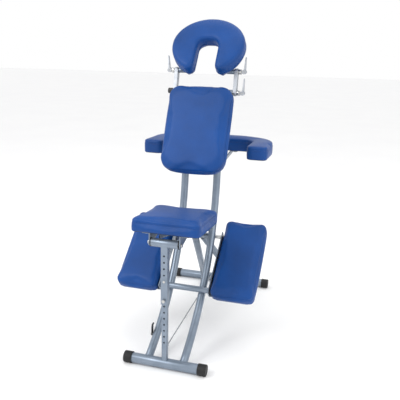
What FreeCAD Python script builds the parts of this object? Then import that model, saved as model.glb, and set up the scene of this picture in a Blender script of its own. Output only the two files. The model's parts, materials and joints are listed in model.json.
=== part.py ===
import FreeCAD, Part
import math
import os
from FreeCAD import Placement, Rotation, Vector

# Kneeling massage chair: a folding frame of round steel tube with a seat, two knee pads,
# a chest pad, an armrest and a tilting face cradle.
# Millimetres. Z is up, +Y is the way the user faces, +X is the user's right.
# The origin is on the floor, on the centre plane, midway between the two foot tubes.

# ---- Foot tubes and rubber caps ----
base_length = 831.0          # between the axes of the two foot tubes
foot_tube_d = 38.0
foot_tube_wall = 2.0
rear_foot_half = 160.0       # half length over the caps
front_foot_half = 244.0
cap_d = 43.0
cap_length = 32.0
cap_end = 4.0                # rubber beyond the tube's end
cap_sole = 1.0               # depth of the flat moulded under each cap

# ---- Bent main rails ----
rail_d = 30.0
rail_wall = 2.0
rail_x = 68.0                # centre plane to each rail's axis
rail_foot_angle = 30.0       # slope above horizontal where the rail leaves the foot tube
rail_top_angle = 85.0        # slope at the top
rail_start = 60.0            # straight length before the bend
rail_bend_r = 760.0

# ---- Telescopic seat post ----
post_size = 20.0
post_wall = 2.0
sleeve_size = 25.0
post_fit = 0.3               # gap on each side between post and sleeve
hole_pitch = 24.0
hole_d = 7.0
steps_down = 4               # holes the seat can drop from here
steps_up = 2
head_tube_z = 489.0          # seat hinge axis
head_tube_d = 30.0
head_tube_wall = 3.0
head_tube_half = 50.0
bush_flange = 3.0
pin_shank_d = 6.4
pin_head_d = 12.0
pin_head_t = 4.0
pin_travel = 5.0

# ---- Main pivot and front legs ----
pivot_y = -5.0
pivot_z = 389.0
axle_d = 16.0
running_fit = 0.06           # radial clearance of turning parts
pivot_sleeve_d = 26.0
plate_t = 5.0
side_gap = 1.0               # side clearance between parts that turn past each other
leg_d = 30.0
leg_wall = 2.0
leg_top_x = 17.0
leg_foot_x = 86.0
cable_d = 4.0
cable_socket_d = 9.0
cable_socket_l = 16.0
cable_post_z = 80.0
cable_leg_share = 0.47       # how far down the right front leg the cable is fixed

# ---- Covers ----
board_inset = 8.0            # the cover wraps this far round each board's edge
cover_step = 1.5             # the board stands this far below the cover

# ---- Knee pads ----
knee_tube_d = 24.0
knee_tube_wall = 2.0
knee_tube_station = 49.0     # slope of the rail, in degrees, where the knee tube is welded
knee_pad_angle = 40.0
knee_pad_near_y = -238.0
knee_pad_near_z = 235.5
knee_pad_inner_x = 108.0
knee_pad_width = 178.0
knee_pad_length = 352.0
knee_foam_t = 44.0
knee_board_t = 11.0
knee_web_x = 100.0           # inner face of the steel angle beside each pad
angle_t = 4.0
angle_flange = 50.0

# ---- Chest pad ----
chest_angle = 67.0           # slope above horizontal
chest_low_y = -153.5
chest_low_z = 688.0
chest_width = 268.0
chest_length = 354.0
chest_foam_t = 36.0
chest_board_t = 10.0
chest_low_corner = 62.0
chest_high_corner = 52.0
chest_bracket_low = 60.0     # along the pad from its lower edge
chest_bracket_high = 262.0
chest_bracket_h = 32.0

# ---- Armrest ----
armrest_z = 716.0            # underside of the board
armrest_board_t = 10.0
armrest_foam_t = 49.0
armrest_half = 268.0
armrest_band = 92.0
armrest_far_y = 305.0
armrest_tip_y = 30.0
armrest_corner_r = 135.0
armrest_hinge_y = 54.0
armrest_hinge_z = 688.0
hinge_pin_d = 8.0

# ---- Seat ----
seat_near_y = -430.0
seat_near_z = 575.0
seat_tilt_down = 3.9         # forward slope of the seat, degrees
seat_width = 260.0
seat_length = 258.0
seat_foam_t = 41.0
seat_board_t = 10.0
seat_bar_z = 430.0           # cross bar between the rails that carries the seat's front
seat_bar_d = 20.0
seat_arm_x = 28.0
seat_arm_t = 5.0

# ---- Face cradle ----
cross_tube_z = 979.0
cross_tube_d = 25.0
cross_tube_half = 116.0
link_lean = 13.2             # forward lean of the link arms, degrees
link_length = 83.2
link_width = 26.0
link_t = 14.0
clamp_rod_d = 8.0
cam_seat_t = 13.0
cam_r = 8.5
cam_gap = 1.5
lever_length = 58.0
lever_width = 20.0
cradle_angle = 54.0          # slope above horizontal of the face cushion
cradle_rise = 78.0           # along the cushion from the hinge to its centre
cradle_back = 52.0           # from the hinge to the cushion's middle plane
face_half_width = 151.0
face_upper_height = 124.0     # from the centre to the top
face_lower_height = 134.0     # from the centre to the tips below the slot
face_shift = 6.0              # the pad sits on hook-and-loop, a little to the right
face_t = 62.0
face_slot_half = 40.0
face_slot_top = 20.0
face_board_t = 8.0
face_plate_t = 4.0
ear_d = 20.0
ear_inner_x = 84.0

# ---- Screws ----
screw_d = 6.0
screw_head_d = 12.0
screw_head_h = 3.5
screw_grip = 8.0             # thread length in the board

# ---- Values that follow from the ones above ----
foot_z = cap_d / 2 - cap_sole
rear_y = -base_length / 2
front_y = base_length / 2
rad = math.radians
bend_y = rear_y + rail_start * math.cos(rad(rail_foot_angle))
bend_z = foot_z + rail_start * math.sin(rad(rail_foot_angle))
bend_centre_y = bend_y - rail_bend_r * math.sin(rad(rail_foot_angle))
bend_centre_z = bend_z + rail_bend_r * math.cos(rad(rail_foot_angle))


def on_bend(angle):
    """Point (y, z) of the rail's axis where its slope is that angle."""
    return (bend_centre_y + rail_bend_r * math.sin(rad(angle)),
            bend_centre_z - rail_bend_r * math.cos(rad(angle)))


def rail_at(z):
    """Y of the rail's axis at a height."""
    if z < bend_z:
        return rear_y + (z - foot_z) / math.tan(rad(rail_foot_angle))
    top_y, top_z = on_bend(rail_top_angle)
    if z < top_z:
        slope = math.acos((bend_centre_z - z) / rail_bend_r)
        return bend_centre_y + rail_bend_r * math.sin(slope)
    return top_y + (z - top_z) / math.tan(rad(rail_top_angle))


cross_tube_y = rail_at(cross_tube_z)
seat_bar_y = rail_at(seat_bar_z)
head_y = rear_y
post_top_z = head_tube_z - head_tube_d / 2 - steps_down * hole_pitch - 6
lock_z = post_top_z - 22 - 3 * hole_pitch
sleeve_bottom_z = lock_z - 16
axle_half = knee_web_x + angle_t
link_x = cross_tube_half + side_gap
upper_y = cross_tube_y + link_length * math.sin(rad(link_lean))
upper_z = cross_tube_z + link_length * math.cos(rad(link_lean))
cam_seat_x = link_x + link_t + side_gap
cam_x = cam_seat_x + cam_seat_t + cam_gap + cam_r

# Frames of the tilted pads: local X is X, local Y runs along the pad, local Z is its outward normal.
knee_frame = Placement(Vector(0, knee_pad_near_y, knee_pad_near_z), Rotation(Vector(1, 0, 0), knee_pad_angle))
chest_frame = Placement(Vector(0, chest_low_y, chest_low_z), Rotation(Vector(1, 0, 0), chest_angle))
seat_frame = Placement(Vector(0, seat_near_y, seat_near_z), Rotation(Vector(1, 0, 0), -seat_tilt_down))
cradle_turn = Rotation(Vector(1, 0, 0), cradle_angle)
cradle_frame_at = Placement(
    Vector(0, upper_y, upper_z) + cradle_turn.multVec(Vector(0, cradle_rise, cradle_back)), cradle_turn)

parts = {}


# ---- Shape helpers ----
def rod(start, end, diameter):
    along = end - start
    return Part.makeCylinder(diameter / 2, along.Length, start, along)


def tube(start, end, diameter, wall):
    return rod(start, end, diameter).cut(rod(start, end, diameter - 2 * wall))


def cross_rod(half, y, z, diameter):
    return rod(Vector(-half, y, z), Vector(half, y, z), diameter)


def block(low_x, high_x, low_y, high_y, low_z, high_z):
    return Part.makeBox(high_x - low_x, high_y - low_y, high_z - low_z, Vector(low_x, low_y, low_z))


def side_plate(outline, low_x, high_x):
    """A plate across X whose outline is a list of (y, z) points."""
    corners = [Vector(low_x, y, z) for y, z in outline]
    face = Part.Face(Part.makePolygon(corners + corners[:1]))
    return face.extrude(Vector(high_x - low_x, 0, 0))


def mirrored(shape):
    return shape.mirror(Vector(0, 0, 0), Vector(1, 0, 0))


def placed(shape, frame):
    moved = shape.copy()
    moved.Placement = frame.multiply(moved.Placement)
    return moved


def rounded_slab(low_x, high_x, low_y, high_y, low_z, high_z, corner, top_edge, bottom_edge):
    """A slab with round corners in plan and rounded top and bottom edges."""
    slab = block(low_x, high_x, low_y, high_y, low_z, high_z)
    upright = [e for e in slab.Edges if abs(e.tangentAt(e.FirstParameter).z) > 0.9]
    near_corner, far_corner = corner if isinstance(corner, tuple) else (corner, corner)
    slab = slab.makeFillet(near_corner, [e for e in upright if abs(e.BoundBox.YMin - low_y) < 1e-4])
    upright = [e for e in slab.Edges
               if e.BoundBox.ZLength > high_z - low_z - 1e-4 and e.BoundBox.YLength < 1e-4
               and abs(e.BoundBox.YMin - high_y) < 1e-4 and e.BoundBox.XLength < 1e-4]
    slab = slab.makeFillet(far_corner, upright)
    for height, radius in ((high_z, top_edge), (low_z, bottom_edge)):
        if radius > 0:
            rim = [e for e in slab.Edges
                   if e.BoundBox.ZLength < 1e-6 and abs(e.BoundBox.ZMin - height) < 1e-4]
            slab = slab.makeFillet(radius, rim)
    return slab


def softened(shape, radius):
    """Rounds every edge that lies in a level plane: the rims of an upright slab."""
    return shape.makeFillet(radius, [e for e in shape.Edges if e.BoundBox.ZLength < 1e-6])


def pan_screw(x, y, seat_z, up=True):
    """A pan-head screw in a pad's own frame, driven up into the board from below."""
    way = 1 if up else -1
    head = rod(Vector(x, y, seat_z - way * screw_head_h), Vector(x, y, seat_z), screw_head_d)
    shank = rod(Vector(x, y, seat_z), Vector(x, y, seat_z + way * (angle_t + screw_grip)), screw_d)
    return head.fuse(shank)


def group(shapes):
    return shapes[0] if len(shapes) == 1 else Part.makeCompound(shapes)


def reach_rail(start, way):
    """Distance from a point to the rail's axis along a direction in the YZ plane."""
    near, far = 0.0, 400.0
    for _ in range(50):
        middle = (near + far) / 2
        point = start + way * middle
        if point.y < rail_at(point.z):
            near = middle
        else:
            far = middle
    return middle


# ---- Foot tubes and caps ----
def make_foot(half, y, prefix):
    end = half - cap_end
    parts[prefix + "_foot_tube"] = tube(Vector(-end, y, foot_z), Vector(end, y, foot_z), foot_tube_d,
                                        foot_tube_wall)
    for side, name in ((-1, "left"), (1, "right")):
        inner = Vector(side * (half - cap_length), y, foot_z)
        outer = Vector(side * half, y, foot_z)
        cap = rod(inner, outer, cap_d)
        rim = [e for e in cap.Edges if e.Closed and abs(e.BoundBox.Center.x - outer.x) < 1e-4]
        cap = cap.makeFillet(2.5, rim)
        cap = cap.cut(rod(inner, Vector(side * end, y, foot_z), foot_tube_d))
        floor_cut = block(-half - 1, half + 1, y - cap_d, y + cap_d, -cap_sole - 1, 0)
        parts[prefix + "_foot_cap_" + name] = cap.cut(floor_cut)


# ---- Main rails ----
def rail_body(diameter):
    """A solid bar along the rail's path, in the plane x = 0, from foot tube to cross tube."""
    foot = Vector(0, rear_y, foot_z)
    start = Vector(0, bend_y, bend_z)
    top_y, top_z = on_bend(rail_top_angle)
    bend_end = Vector(0, top_y, top_z)
    first = rod(foot, start, diameter)
    ring = Part.Face(Part.Wire(Part.makeCircle(diameter / 2, start, start - foot)))
    centre = Vector(0, bend_centre_y, bend_centre_z)
    bend = ring.revolve(centre, Vector(1, 0, 0), rail_top_angle - rail_foot_angle)
    last = rod(bend_end, Vector(0, cross_tube_y, cross_tube_z), diameter)
    return first.fuse([bend, last]).removeSplitter()


def make_rails():
    solid_bar = rail_body(rail_d)
    hollow = solid_bar.cut(rail_body(rail_d - 2 * rail_wall))
    foot_bar = cross_rod(rear_foot_half, rear_y, foot_z, foot_tube_d)
    cross_bar = cross_rod(cross_tube_half, cross_tube_y, cross_tube_z, cross_tube_d)
    hollow = hollow.cut(foot_bar).cut(cross_bar)
    outer_bars = []
    for side, name in ((-1, "left"), (1, "right")):
        shift = Vector(side * rail_x, 0, 0)
        rail = hollow.copy()
        rail.translate(shift)
        parts["rail_" + name] = rail
        bar = solid_bar.copy()
        bar.translate(shift)
        outer_bars.append(bar)
    return outer_bars


def knee_tube_centre():
    y, z = on_bend(knee_tube_station)
    stand = (rail_d + knee_tube_d) / 2 - 1
    return y - stand * math.sin(rad(knee_tube_station)), z + stand * math.cos(rad(knee_tube_station))


def make_cross_members(rails):
    knee_y, knee_z = knee_tube_centre()
    knee = tube(Vector(-knee_web_x, knee_y, knee_z), Vector(knee_web_x, knee_y, knee_z), knee_tube_d,
                knee_tube_wall)
    parts["knee_tube"] = knee.cut(rails[0]).cut(rails[1])
    rest = cross_rod(rail_x, seat_bar_y, seat_bar_z, seat_bar_d)
    parts["seat_rest_bar"] = rest.cut(rails[0]).cut(rails[1])
    cross = cross_rod(cross_tube_half, cross_tube_y, cross_tube_z, cross_tube_d)
    hollow = cross_rod(cross_tube_half - 6, cross_tube_y, cross_tube_z, cross_tube_d - 4)
    parts["top_cross_tube"] = cross.cut(hollow).cut(cross_rod(cross_tube_half, cross_tube_y, cross_tube_z,
                                                              clamp_rod_d))


# ---- Main pivot ----
def make_pivot(rails):
    boss_r = axle_d / 2 + 9
    weld_low = pivot_z - 48
    weld_high = pivot_z + 40
    plates = []
    for side in (-1, 1):
        low_x = side * rail_x - plate_t / 2
        high_x = side * rail_x + plate_t / 2
        outline = [(rail_at(weld_low), weld_low), (pivot_y + 2, pivot_z - boss_r),
                   (pivot_y + 2, pivot_z + boss_r),
                   (rail_at(weld_high), weld_high)]
        plate = side_plate(outline, low_x, high_x)
        boss = rod(Vector(low_x, pivot_y, pivot_z), Vector(high_x, pivot_y, pivot_z), 2 * boss_r)
        plate = plate.fuse(boss).removeSplitter()
        plate = plate.cut(rails[0]).cut(rails[1]).cut(cross_rod(axle_half, pivot_y, pivot_z, axle_d))
        plates.append(plate)
    parts["pivot_plates"] = group(plates)
    parts["pivot_axle"] = cross_rod(axle_half, pivot_y, pivot_z, axle_d)


def leg_end(side, share):
    """Point on a front leg's axis, from the pivot (0) to the front foot tube (1)."""
    top = Vector(side * leg_top_x, pivot_y, pivot_z)
    foot = Vector(side * leg_foot_x, front_y, foot_z)
    return top + (foot - top) * share


def cable_ends():
    """The two ends of the limit cable: at the post's socket and at the right front leg's socket."""
    along = (leg_end(1, 1) - leg_end(1, 0)).normalize()
    down = along.cross(Vector(1, 0, 0)).normalize()
    if down.z > 0:
        down = down * -1
    leg_anchor = leg_end(1, cable_leg_share)
    post_anchor = Vector(0, rear_y + post_size / 2, cable_post_z)
    near_leg = leg_anchor + down * (leg_d / 2 + 6)
    near_post = post_anchor + Vector(0, 8, 0)
    way = (near_leg - near_post).normalize()
    inset = way * (cable_socket_l / 2)
    return near_post + inset, near_leg - inset, way, down, leg_anchor


def make_front_frame():
    half = rail_x - plate_t / 2 - side_gap
    sleeve_bar = cross_rod(half, pivot_y, pivot_z, pivot_sleeve_d)
    bore = cross_rod(half, pivot_y, pivot_z, axle_d + 2 * running_fit)
    parts["pivot_sleeve"] = sleeve_bar.cut(bore)
    foot_bar = cross_rod(front_foot_half, front_y, foot_z, foot_tube_d)
    post_end, leg_end_point, way, down, anchor = cable_ends()
    for side, name in ((-1, "left"), (1, "right")):
        start = leg_end(side, 0.015)
        leg = tube(start, leg_end(side, 1), leg_d, leg_wall)
        leg = leg.cut(sleeve_bar).cut(foot_bar)
        if side > 0:
            bar = rod(start, leg_end(side, 1), leg_d)
            neck = rod(anchor + down * (leg_d / 2 - 2), anchor + down * (leg_d / 2 + 6), 6.0)
            socket = rod(leg_end_point, leg_end_point + way * cable_socket_l, cable_socket_d)
            leg = leg.fuse(neck.fuse(socket).cut(bar)).removeSplitter()
        parts["front_leg_" + name] = leg


# ---- Seat post ----
def hole_heights(low, high, start, step):
    """Heights from start, by step, that lie between low and high."""
    count = int((high - start) / step + 0.001) if step > 0 else int((start - low) / -step + 0.001)
    return [start + step * k for k in range(count + 1) if low <= start + step * k <= high]


def square_tube(size, wall, low_z, high_z):
    outer = block(-size / 2, size / 2, head_y - size / 2, head_y + size / 2, low_z, high_z)
    inner = size / 2 - wall
    upright = [e for e in outer.Edges if abs(e.tangentAt(e.FirstParameter).z) > 0.9]
    outer = outer.makeFillet(2.0, upright)
    return outer.cut(block(-inner, inner, head_y - inner, head_y + inner, low_z, high_z))


def drilled(shape, heights, diameter, through=True):
    for height in heights:
        far = head_y + sleeve_size if through else head_y
        shape = shape.cut(rod(Vector(0, head_y - sleeve_size, height), Vector(0, far, height), diameter))
    return shape


def make_post():
    foot_top = foot_z + foot_tube_d / 2
    post = square_tube(post_size, post_wall, foot_z, post_top_z)
    post = post.cut(cross_rod(rear_foot_half, rear_y, foot_z, foot_tube_d))
    post = drilled(post, hole_heights(foot_top + 50, post_top_z, lock_z + 3 * hole_pitch, -hole_pitch),
                   hole_d)
    post_end, leg_point, way, down, anchor = cable_ends()
    socket = rod(post_end - way * cable_socket_l, post_end, cable_socket_d)
    bar = block(-post_size / 2, post_size / 2, head_y - post_size / 2, head_y + post_size / 2, foot_z,
                post_top_z)
    neck = rod(Vector(0, head_y + post_size / 2 - 1, cable_post_z),
               Vector(0, head_y + post_size / 2 + 8, cable_post_z), 6.0)
    parts["seat_post_inner"] = post.fuse(neck.fuse(socket).cut(bar)).removeSplitter()


def make_sleeve():
    wall = (sleeve_size - post_size) / 2 - post_fit
    head_bar = cross_rod(head_tube_half, head_y, head_tube_z, head_tube_d)
    sleeve = square_tube(sleeve_size, wall, sleeve_bottom_z, head_tube_z).cut(head_bar)
    sleeve = drilled(sleeve, [lock_z], hole_d, through=False)
    top = head_tube_z - head_tube_d / 2 - hole_d
    sleeve = drilled(sleeve, hole_heights(post_top_z, top, lock_z + 4 * hole_pitch, hole_pitch), hole_d)
    rivet_z = lock_z + 3 * hole_pitch
    rear_face = head_y - sleeve_size / 2
    rivet = rod(Vector(0, rear_face - 1.6, rivet_z), Vector(0, rear_face, rivet_z), 9.0)
    rivet = rivet.fuse(rod(Vector(0, rear_face, rivet_z), Vector(0, rear_face + wall, rivet_z), 5.0))
    parts["sleeve_rivet"] = rivet
    parts["seat_post_sleeve"] = sleeve.cut(rivet)
    parts["seat_head_tube"] = tube(Vector(-head_tube_half, head_y, head_tube_z),
                                   Vector(head_tube_half, head_y, head_tube_z), head_tube_d, head_tube_wall)
    bushes = []
    for side in (-1, 1):
        lip = Vector(side * head_tube_half, head_y, head_tube_z)
        bush = rod(lip, lip + Vector(side * bush_flange, 0, 0), head_tube_d + 2)
        bush = bush.fuse(rod(lip - Vector(side * 12, 0, 0), lip, head_tube_d - 2 * head_tube_wall))
        bushes.append(bush.cut(cross_rod(2 * head_tube_half, head_y, head_tube_z,
                                         hinge_pin_d + 2 * running_fit)))
    parts["head_tube_bushes"] = group(bushes)
    gap = 0.3
    nose = head_y - post_size / 2 - gap
    head_low = rear_face - pin_travel - pin_head_t
    pin = rod(Vector(0, head_low, lock_z), Vector(0, head_low + pin_head_t, lock_z), pin_head_d)
    parts["height_lock_pin"] = pin.fuse(rod(Vector(0, head_low + pin_head_t, lock_z),
                                            Vector(0, nose, lock_z), pin_shank_d))


# ---- Flat pads: board, cushion, steel and screws in one local frame ----
def make_knee_pads():
    foam_low = -knee_foam_t
    board_low = foam_low - knee_board_t
    outer_x = knee_pad_inner_x + knee_pad_width
    to_local = knee_frame.inverse()
    knee_y, knee_z = knee_tube_centre()
    tube_at = to_local.multVec(Vector(0, knee_y, knee_z))
    axle_at = to_local.multVec(Vector(0, pivot_y, pivot_z))
    web_top = max(tube_at.z + knee_tube_d / 2, axle_at.z + axle_d / 2) + 3
    web_low_y = tube_at.y - knee_tube_d / 2 - 4
    web_high_y = axle_at.y + axle_d / 2 + 12
    board = rounded_slab(knee_pad_inner_x + board_inset, outer_x - board_inset, board_inset,
                         knee_pad_length - board_inset, board_low, foam_low, 16, 0, 0)
    cushion = rounded_slab(knee_pad_inner_x, outer_x, 0, knee_pad_length,
                           board_low + cover_step, 0, 24, 12, 3).cut(board)
    web = block(knee_web_x, knee_web_x + angle_t, web_low_y, web_high_y, board_low - angle_t, web_top)
    flange = block(knee_web_x, knee_web_x + angle_flange, web_low_y, web_high_y, board_low - angle_t,
                   board_low)
    angle = web.fuse(flange).removeSplitter()
    screw_x = knee_web_x + angle_flange - 13
    screw_y = (web_low_y + 30, (web_low_y + web_high_y) / 2, web_high_y - 30)
    screws = [pan_screw(screw_x, y, board_low - angle_t) for y in screw_y]
    holes = group(screws)
    angle = placed(angle.cut(holes), knee_frame).cut(cross_rod(axle_half, pivot_y, pivot_z, axle_d))
    board = placed(board.cut(holes), knee_frame)
    cushion = placed(cushion, knee_frame)
    screws = [placed(s, knee_frame) for s in screws]
    for shape, name in ((angle, "knee_angle"), (board, "knee_board"), (cushion, "knee_cushion")):
        parts[name + "_left"] = mirrored(shape)
        parts[name + "_right"] = shape
    return screws + [mirrored(s) for s in screws]


def make_chest_pad(rails):
    half = chest_width / 2
    foam_low = -chest_foam_t
    board_low = foam_low - chest_board_t
    corners = (chest_low_corner, chest_high_corner)
    board_corners = (chest_low_corner - board_inset, chest_high_corner - board_inset)
    board = rounded_slab(-half + board_inset, half - board_inset, board_inset, chest_length - board_inset,
                         board_low, foam_low, board_corners, 0, 0)
    cushion = rounded_slab(-half, half, 0, chest_length, board_low + cover_step, 0, corners, 13, 3).cut(board)
    back = chest_frame.Rotation.multVec(Vector(0, 0, -1))
    screws = []
    brackets = []
    for station in (chest_bracket_low, chest_bracket_high):
        low_y = station - chest_bracket_h / 2
        high_y = station + chest_bracket_h / 2
        strip_low = board_low - angle_t
        bracket = block(-rail_x - 22, rail_x + 22, low_y, high_y, strip_low, board_low)
        seat_point = chest_frame.multVec(Vector(0, station, strip_low))
        depth = reach_rail(seat_point, back)
        for side in (-1, 1):
            web = block(side * rail_x - plate_t / 2, side * rail_x + plate_t / 2, low_y, high_y,
                        strip_low - depth, strip_low)
            bracket = bracket.fuse(web)
        here = [pan_screw(x, station, strip_low) for x in (-rail_x + 20, 0, rail_x - 20)]
        screws += here
        bracket = bracket.removeSplitter().cut(group(here))
        brackets.append(placed(bracket, chest_frame).cut(rails[0]).cut(rails[1]))
    parts["chest_board"] = placed(board.cut(group(screws)), chest_frame)
    parts["chest_cushion"] = placed(cushion, chest_frame)
    parts["chest_brackets"] = group(brackets)
    return [placed(s, chest_frame) for s in screws]


# ---- Armrest ----
def horseshoe(half, far_y, tip_y, corner_r, band, inset, low_z, high_z):
    """A U-shaped slab, open towards -Y, with round outer and inner corners and rounded tips."""
    centre_x = half - corner_r
    centre_y = far_y - corner_r
    outer_r = corner_r - inset
    inner_r = corner_r - band + inset
    tip_r = 26.0 - inset
    tip = tip_y + inset
    diag = math.sqrt(0.5)

    def at(x, y):
        return Vector(x, y, low_z)

    right = [
        Part.LineSegment(at(0, centre_y + outer_r), at(centre_x, centre_y + outer_r)).toShape(),
        Part.Arc(at(centre_x, centre_y + outer_r), at(centre_x + outer_r * diag, centre_y + outer_r * diag),
                 at(centre_x + outer_r, centre_y)).toShape(),
        Part.LineSegment(at(centre_x + outer_r, centre_y), at(centre_x + outer_r, tip + tip_r)).toShape(),
        Part.Arc(at(centre_x + outer_r, tip + tip_r),
                 at(centre_x + outer_r - tip_r * (1 - diag), tip + tip_r * (1 - diag)),
                 at(centre_x + outer_r - tip_r, tip)).toShape(),
        Part.LineSegment(at(centre_x + outer_r - tip_r, tip), at(centre_x + inner_r + tip_r, tip)).toShape(),
        Part.Arc(at(centre_x + inner_r + tip_r, tip),
                 at(centre_x + inner_r + tip_r * (1 - diag), tip + tip_r * (1 - diag)),
                 at(centre_x + inner_r, tip + tip_r)).toShape(),
        Part.LineSegment(at(centre_x + inner_r, tip + tip_r), at(centre_x + inner_r, centre_y)).toShape(),
        Part.Arc(at(centre_x + inner_r, centre_y), at(centre_x + inner_r * diag, centre_y + inner_r * diag),
                 at(centre_x, centre_y + inner_r)).toShape(),
        Part.LineSegment(at(centre_x, centre_y + inner_r), at(0, centre_y + inner_r)).toShape(),
    ]
    left = [mirrored(edge) for edge in right]
    wire = Part.Wire(Part.__sortEdges__(right + left))
    return Part.Face(wire).extrude(Vector(0, 0, high_z - low_z)).removeSplitter()


def make_armrest(rails):
    foam_z = armrest_z + armrest_board_t
    shape = (armrest_half, armrest_far_y, armrest_tip_y, armrest_corner_r, armrest_band)
    board = horseshoe(*shape, board_inset, armrest_z, foam_z)
    cushion = softened(horseshoe(*shape, 0, armrest_z + cover_step, foam_z + armrest_foam_t), 10)
    parts["armrest_cushion"] = cushion.cut(board)
    hinge_x = rail_x + plate_t / 2 + side_gap
    inner_y = armrest_far_y - armrest_band + 6
    arms, brackets, screws = [], [], []
    pin_bar = cross_rod(hinge_x + plate_t + 6, armrest_hinge_y, armrest_hinge_z, hinge_pin_d)
    turning_hole = cross_rod(hinge_x + plate_t + 6, armrest_hinge_y, armrest_hinge_z,
                             hinge_pin_d + 2 * running_fit)
    weld = armrest_hinge_z - 22, armrest_hinge_z + 16
    for side in (-1, 1):
        low_x, high_x = sorted((side * hinge_x, side * (hinge_x + plate_t)))
        outline = [(armrest_hinge_y - 10, armrest_hinge_z + 2), (armrest_hinge_y + 10, armrest_hinge_z - 6),
                   (inner_y + 72, armrest_z - 8), (inner_y + 72, armrest_z), (inner_y, armrest_z)]
        arm = side_plate(outline, low_x, high_x)
        arm = arm.fuse(rod(Vector(low_x, armrest_hinge_y, armrest_hinge_z),
                           Vector(high_x, armrest_hinge_y, armrest_hinge_z), 24))
        low_f, high_f = sorted((side * hinge_x, side * (hinge_x + 32)))
        arm = arm.fuse(block(low_f, high_f, inner_y + 6, inner_y + 72, armrest_z - angle_t,
                             armrest_z)).removeSplitter()
        here = [pan_screw(side * (hinge_x + 20), y, armrest_z - angle_t)
                for y in (inner_y + 20, inner_y + 58)]
        screws += here
        arms.append(arm.cut(group(here)).cut(pin_bar))
        low_b = side * rail_x - plate_t / 2
        high_b = side * rail_x + plate_t / 2
        bracket = side_plate([(rail_at(weld[0]), weld[0]), (armrest_hinge_y + 2, armrest_hinge_z - 12),
                              (armrest_hinge_y + 2, armrest_hinge_z + 12), (rail_at(weld[1]), weld[1])],
                              low_b, high_b)
        bracket = bracket.fuse(rod(Vector(low_b, armrest_hinge_y, armrest_hinge_z),
                                   Vector(high_b, armrest_hinge_y, armrest_hinge_z), 24))
        brackets.append(bracket.removeSplitter().cut(rails[0]).cut(rails[1]).cut(turning_hole))
    parts["armrest_arms"] = group(arms)
    parts["armrest_brackets"] = group(brackets)
    parts["armrest_hinge_pin"] = pin_bar
    parts["armrest_board"] = board.cut(group(screws))
    parts["armrest_screws"] = group(screws)


# ---- Seat ----
def make_seat():
    half = seat_width / 2
    foam_low = -seat_foam_t
    board_low = foam_low - seat_board_t
    plate_low = board_low - angle_t
    to_local = seat_frame.inverse()
    board = rounded_slab(-half + board_inset, half - board_inset, board_inset, seat_length - board_inset,
                         board_low, foam_low, 12, 0, 0)
    cushion = rounded_slab(-half, half, 0, seat_length, board_low + cover_step, 0, 18, 10, 3).cut(board)
    screws = []

    hinge = to_local.multVec(Vector(0, head_y, head_tube_z))
    web_x = head_tube_half + bush_flange + side_gap
    brackets = []
    for side in (-1, 1):
        low_x, high_x = sorted((side * web_x, side * (web_x + angle_t)))
        outline = [(hinge.y - 11, hinge.z), (hinge.y + 8, hinge.z - 10), (hinge.y + 112, plate_low - 6),
                   (hinge.y + 112, board_low), (hinge.y - 11, board_low)]
        web = side_plate(outline, low_x, high_x)
        web = web.fuse(rod(Vector(low_x, hinge.y, hinge.z), Vector(high_x, hinge.y, hinge.z), 26))
        low_f, high_f = sorted((side * web_x, side * (web_x + 32)))
        web = web.fuse(block(low_f, high_f, hinge.y - 5, hinge.y + 112, plate_low,
                             board_low)).removeSplitter()
        here = [pan_screw(side * (web_x + 20), y, plate_low) for y in (hinge.y + 12, hinge.y + 95)]
        screws += here
        brackets.append(web.cut(group(here)))

    bar = to_local.multVec(Vector(0, seat_bar_y, seat_bar_z))
    along = (bar - hinge).normalize()
    above = Vector(0, -along.z, along.y)
    reach = (bar - hinge).Length
    heights = [head_tube_z + step * hole_pitch - seat_bar_z for step in (-steps_down, steps_up)]
    spans = [math.hypot(seat_bar_y - head_y, h) for h in heights]
    play = seat_bar_d / 2 + 2.5

    def near_bar(forward, up):
        point = bar + along * forward + above * up
        return point.y, point.z

    slot = [near_bar(min(spans) - reach - play, play), near_bar(max(spans) - reach + play, play),
            near_bar(max(spans) - reach + play, -40), near_bar(min(spans) - reach - play, -40)]
    arms = []
    for side in (-1, 1):
        low_x, high_x = sorted((side * seat_arm_x, side * (seat_arm_x + seat_arm_t)))
        outline = [(hinge.y + 26, board_low), (seat_length - 10, board_low), near_bar(-10, play + 12),
                   near_bar(max(spans) - reach + play + 8, play + 9),
                   near_bar(max(spans) - reach + play + 8, -seat_bar_d / 2),
                   near_bar(min(spans) - reach - play - 12, -seat_bar_d / 2), (hinge.y + 26, board_low - 26)]
        arm = side_plate(outline, low_x, high_x).cut(side_plate(slot, low_x - 1, high_x + 1))
        low_f, high_f = sorted((side * seat_arm_x, side * (seat_arm_x + 24)))
        arm = arm.fuse(block(low_f, high_f, hinge.y + 40, seat_length - 20, plate_low,
                             board_low)).removeSplitter()
        here = [pan_screw(side * (seat_arm_x + 15), y, plate_low) for y in (hinge.y + 55, seat_length - 35)]
        screws += here
        arms.append(arm.cut(group(here)))
    bolt_half = web_x + angle_t + 5
    bolt = cross_rod(bolt_half, head_y, head_tube_z, hinge_pin_d)
    for side in (-1, 1):
        face = Vector(side * (web_x + angle_t), head_y, head_tube_z)
        bolt = bolt.fuse(rod(face, face + Vector(side * 5, 0, 0), 14.0))
    hole = cross_rod(bolt_half, head_y, head_tube_z, hinge_pin_d)
    parts["seat_hinge_bolt"] = bolt.removeSplitter()
    parts["seat_bracket_left"] = placed(brackets[0], seat_frame).cut(hole)
    parts["seat_bracket_right"] = placed(brackets[1], seat_frame).cut(hole)
    parts["seat_arms"] = group([placed(a, seat_frame) for a in arms])
    parts["seat_board"] = placed(board.cut(group(screws)), seat_frame)
    parts["seat_cushion"] = placed(cushion, seat_frame)
    parts["seat_screws"] = group([placed(s, seat_frame) for s in screws])


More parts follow.
